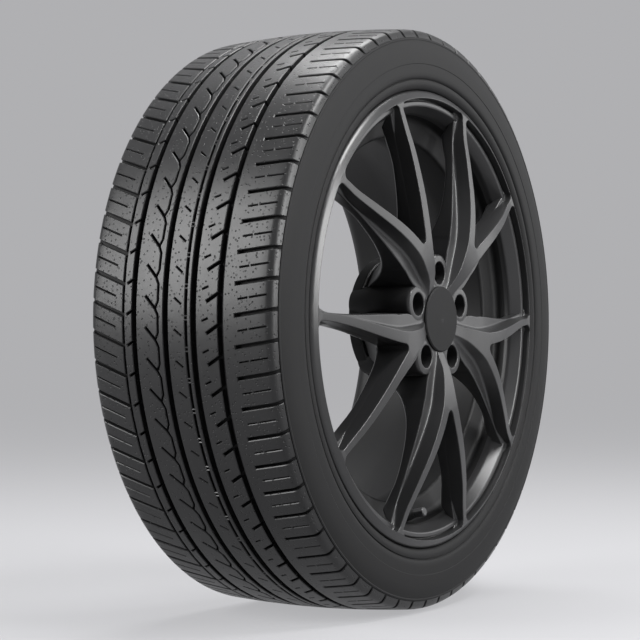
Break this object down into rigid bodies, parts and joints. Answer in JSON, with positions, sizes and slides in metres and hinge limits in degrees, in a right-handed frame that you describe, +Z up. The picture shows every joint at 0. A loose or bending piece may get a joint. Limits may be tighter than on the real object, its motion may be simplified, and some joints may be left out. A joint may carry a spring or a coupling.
{
  "type": "car wheel with tyre",
  "caption": "Low-profile car tyre fitted on a dark alloy wheel with Y-shaped spokes, a plain centre cap and a rubber valve; it bolts to a car's hub.",
  "frame": {"origin": "centre of the hub's mounting face, on the axle line", "axes": "+Y along the axle towards the car, -Y to the street side, +Z up with the valve at the bottom"},
  "size_m": [0.6371, 0.2535, 0.6372],
  "materials": {
    "tyre_rubber": "moulded rubber, satin on the sidewall and matt on the tread",
    "wheel_paint": "satin anthracite paint on cast alloy",
    "cap_plastic": "satin anthracite",
    "spring_steel": "drawn spring wire",
    "valve_rubber": "moulded black rubber",
    "valve_brass": "turned",
    "valve_cap_plastic": "moulded, with fine grip ribs"
  },
  "bodies": {
    "root": {"tyre": "tyre_rubber", "alloy_wheel": "wheel_paint", "centre_cap": "cap_plastic", "cap_spring_ring": "spring_steel", "valve_stem": "valve_rubber", "valve_tube": "valve_brass", "valve_core": "valve_brass", "valve_cap": "valve_cap_plastic", "valve_cap_seal": "valve_rubber"}
  },
  "joints": []
}
